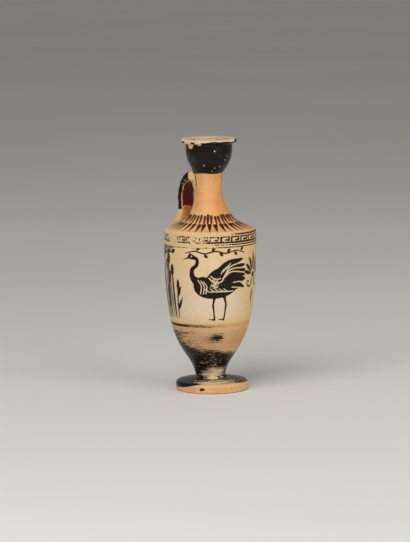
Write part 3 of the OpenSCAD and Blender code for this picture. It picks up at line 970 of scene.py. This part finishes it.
def fine_strap():
    """The frame's own strap as a finer, softer mesh."""
    made = bpy.data.objects.new("handle_strap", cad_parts["handle"].data.copy())
    bpy.context.scene.collection.objects.link(made)
    remesh = made.modifiers.new("fine", "REMESH")
    remesh.mode = "VOXEL"
    remesh.voxel_size = STRAP_VOXEL * MM
    soften = made.modifiers.new("soften", "SMOOTH")
    soften.iterations = STRAP_SMOOTHING
    mesh = bpy.data.meshes.new_from_object(made.evaluated_get(bpy.context.evaluated_depsgraph_get()))
    made.modifiers.clear()
    mesh.name = "handle_strap"
    mesh.materials.clear()
    made.data = mesh
    return made


def read_vectors(collection, name):
    """A named vector of each vertex or normal in a mesh's collection, as rows of three."""
    flat = np.zeros(len(collection) * 3, np.float32)
    collection.foreach_get(name, flat)
    return flat.reshape(-1, 3).astype(float)


def strap_fields(reach, side, height, inward, drift):
    """The strap's paint, black outside and red-brown inside, and the clay and slip of its two bare ends."""
    fields = plain(height)
    above = reach - STRAP_PAINT_REACH + drift * 0.4 + 1.0 * np.clip(inward, -1, 1)
    below = height - STRAP_PAINT_FOOT + drift - 2.4 * unit(inward)
    fields["paint"] = np.minimum(above, below) * 0.8
    fields["thin"] = unit(1.15 * inward + 0.1 + 0.7 * np.exp(-(below / 1.2) ** 2))
    edge_wear = np.where(height < 142, 0.62, 0.5) * np.exp(-((inward - 0.38) / 0.27) ** 2)
    fields["wear"] = 0.08 + edge_wear * (np.abs(side) > 5) - 0.08 * (inward > 0.75)
    fields["wear"] += 0.3 * np.exp(-((height - 147) / 5) ** 2) * np.exp(-((inward + 0.1) / 0.5) ** 2)
    upper = 0.25 + np.where(side < 2, 0.65, 0.1) * unit((height - 142) / 5)
    lower = (0.4 + 0.5 * unit((height - 115) / 8)) * (1 - unit((inward - 0.1) / 0.6))
    fields["slip"] = np.where(height > 135, upper, lower)
    low_stain = 0.3 * unit((height - 113) / 6)
    high_stain = 0.1 + 0.3 * unit((above + 3) / 3)
    fields["stain_and_shade"] = np.where(height < 130, low_stain, high_stain)
    return fields


def strap():
    """The handle, with the clay of its upper end smeared down the neck."""
    made = fine_strap()
    places = read_vectors(made.data.vertices, "co") / MM
    normals = read_vectors(made.data.vertex_normals, "vector")
    radius = np.hypot(places[:, 0], places[:, 1])
    inward = -(normals[:, 0] * places[:, 0] + normals[:, 1] * places[:, 1]) / np.maximum(radius, 1e-6)
    height = places[:, 2].copy()
    reach = -places[:, 0]
    # side is a view of places, so it leans with them
    side = places[:, 1]
    drift = np.sin(side * 0.42 + 0.6) * 0.7 + np.sin(side * 1.25 - 1.0) * 0.25 + np.sin(side * 3.1) * 0.08
    outline, shows, _ = turned_outline("neck", even(0.5), even(0.5))
    neck = outline[shows][np.argsort(outline[shows][:, 1])]
    clear = radius - np.interp(height, neck[:, 1], neck[:, 0])
    under = (height > 137) & (inward + unit(-normals[:, 2]) > 0.35)
    amount = unit(1 - clear / SMEAR_WIDTH) ** 2 * unit(1.3 - (side / 7.5) ** 4)
    places[:, 2] -= np.where(under, SMEAR_LENGTH * amount, 0)
    places[:, :2] *= np.where(under & (clear < 0.15), 1 - 0.9 / radius, 1)[:, None]
    places[:, :2] += RIGHT * lean(height)[:, None]
    places += normals * (0.06 * np.sin(height * 1.1 + side) + 0.05 * np.sin(side * 1.9 - reach))[:, None]
    made.data.vertices.foreach_set("co", (places * MM).ravel())
    paint_on(made.data, strap_fields(reach, side, height, inward, drift))
    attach(made, "root")
    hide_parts("handle")
    return made


WHITE_GROUND = fired("white_ground_painted")
PAINTED_CLAY = fired("orange_clay_painted")
MOUTH_GLOSS = fired("mouth_black_gloss", brown=OLIVE_BROWN_AND_SHEEN)
HANDLE_GLOSS = fired("handle_black_gloss", brown=RED_BROWN)

# Each turned piece: name, node, points round it, spacing where it shows and where it doesn't, painting,
# material and slot
TURNED = (
    ("body_wall", "body", 464, body_spacing, even(5), body_fields, WHITE_GROUND, "white_ground"),
    ("shoulder_wall", "shoulder", 600, even(0.45), even(2.5), shoulder_fields, PAINTED_CLAY, "orange_clay"),
    ("neck_tube", "neck", 240, even(0.6), even(2), neck_fields, PAINTED_CLAY, "orange_clay"),
    ("mouth_cup", "mouth", 320, even(0.4), even(0.7), mouth_fields, MOUTH_GLOSS, "black_gloss"),
    ("foot_disc", "foot", 360, even(0.5), even(1.5), foot_fields, PAINTED_CLAY, "orange_clay"),
    ("foot_joint", "foot_seam", 240, even(0.3), even(1), slip_fields, MOUTH_GLOSS, "luting_slip"),
    ("mouth_joint", "mouth_seam", 240, even(0.3), even(1), fringe_fields, MOUTH_GLOSS, "luting_slip"))

for *piece, material, slot in TURNED:
    dress(turned(*piece), material)
dress(strap(), HANDLE_GLOSS)

HIDDEN_SLIP = plain_slip("luting_slip_inside")
for node in ("shoulder_seam", "neck_seam"):
    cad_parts[node].data.materials.clear()
    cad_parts[node].data.materials.append(HIDDEN_SLIP)


# Floor, light and camera

def floor():
    """A wide sheet of pale paper."""
    bpy.ops.mesh.primitive_plane_add(size=60)
    made = bpy.context.object
    made.name = "floor"
    g = Graph("floor_paper")
    g.shader.inputs["Roughness"].default_value = 0.9
    tone = g.mix(g.step(g.noise(0.002, 2), 0.3, 0.7), (0.74, 0.73, 0.71), (0.70, 0.69, 0.67))
    g.plug(g.shader.inputs["Base Color"], tone)
    made.data.materials.append(g.material)


def lamp(name, azimuth, elevation, distance, size, watts, colour):
    """A soft square lamp that looks at the vase. Azimuth is from the camera's side, positive to its right."""
    light = bpy.data.lights.new(name, "AREA")
    light.shape = "SQUARE"
    light.size = size
    light.energy = watts
    light.color = colour
    made = bpy.data.objects.new(name, light)
    bpy.context.scene.collection.objects.link(made)
    a, e = math.radians(azimuth), math.radians(elevation)
    flat = (math.cos(a) * TOWARDS + math.sin(a) * RIGHT) * math.cos(e)
    target = Vector((0, 0, 0.09))
    made.location = target + Vector((flat[0], flat[1], math.sin(e))) * distance
    made.rotation_euler = (target - made.location).to_track_quat("-Z", "Y").to_euler()


def surroundings():
    """A pale even room, brighter to the camera than in its light."""
    world = bpy.data.worlds.new("room")
    bpy.context.scene.world = world
    world.use_nodes = True
    nodes, links = world.node_tree.nodes, world.node_tree.links
    back = nodes["Background"]
    back.inputs["Color"].default_value = (0.95, 0.94, 0.92, 1)
    back.inputs["Strength"].default_value = 0.28
    seen = nodes.new("ShaderNodeBackground")
    seen.inputs["Color"].default_value = (0.8, 0.8, 0.79, 1)
    ray = nodes.new("ShaderNodeLightPath")
    mix = nodes.new("ShaderNodeMixShader")
    links.new(ray.outputs["Is Camera Ray"], mix.inputs[0])
    links.new(back.outputs[0], mix.inputs[1])
    links.new(seen.outputs[0], mix.inputs[2])
    links.new(mix.outputs[0], nodes["World Output"].inputs["Surface"])


def camera():
    """The photograph's own view: above the vase's middle and to the right of its front."""
    flat = math.sqrt(CAMERA_DISTANCE ** 2 - (CAMERA_HEIGHT - CAMERA_TARGET) ** 2)
    place = Vector((*(TOWARDS * flat), CAMERA_HEIGHT)) * MM
    target = Vector((0, 0, CAMERA_TARGET * MM))

    def axes(aim):
        forward = (aim - place).normalized()
        level = forward.cross(Vector((0, 0, 1))).normalized()
        upright = level.cross(forward)
        c, s = math.cos(CAMERA_ROLL), math.sin(CAMERA_ROLL)
        return forward, c * level + s * upright, c * upright - s * level

    forward, right, up = axes(target)
    aim = target - right * TARGET_RIGHT_OF_CENTRE * MM - up * TARGET_ABOVE_CENTRE * MM
    forward, right, up = axes(aim)
    data = bpy.data.cameras.new("camera")
    data.lens = CAMERA_LENS
    data.sensor_fit = "VERTICAL"
    data.sensor_height = CAMERA_SENSOR
    data.clip_end = 100
    made = bpy.data.objects.new("camera", data)
    bpy.context.scene.collection.objects.link(made)
    made.matrix_world = Matrix.Translation(place) @ Matrix((right, up, -forward)).transposed().to_4x4()
    bpy.context.scene.camera = made


floor()
lamp("key", -26, 43, 1.6, 1.2, 18.5, (1.0, 0.975, 0.94))
lamp("fill", 48, 22, 1.8, 1.3, 13, (1.0, 0.985, 0.96))
surroundings()
camera()
bpy.context.scene.view_settings.view_transform = "Standard"
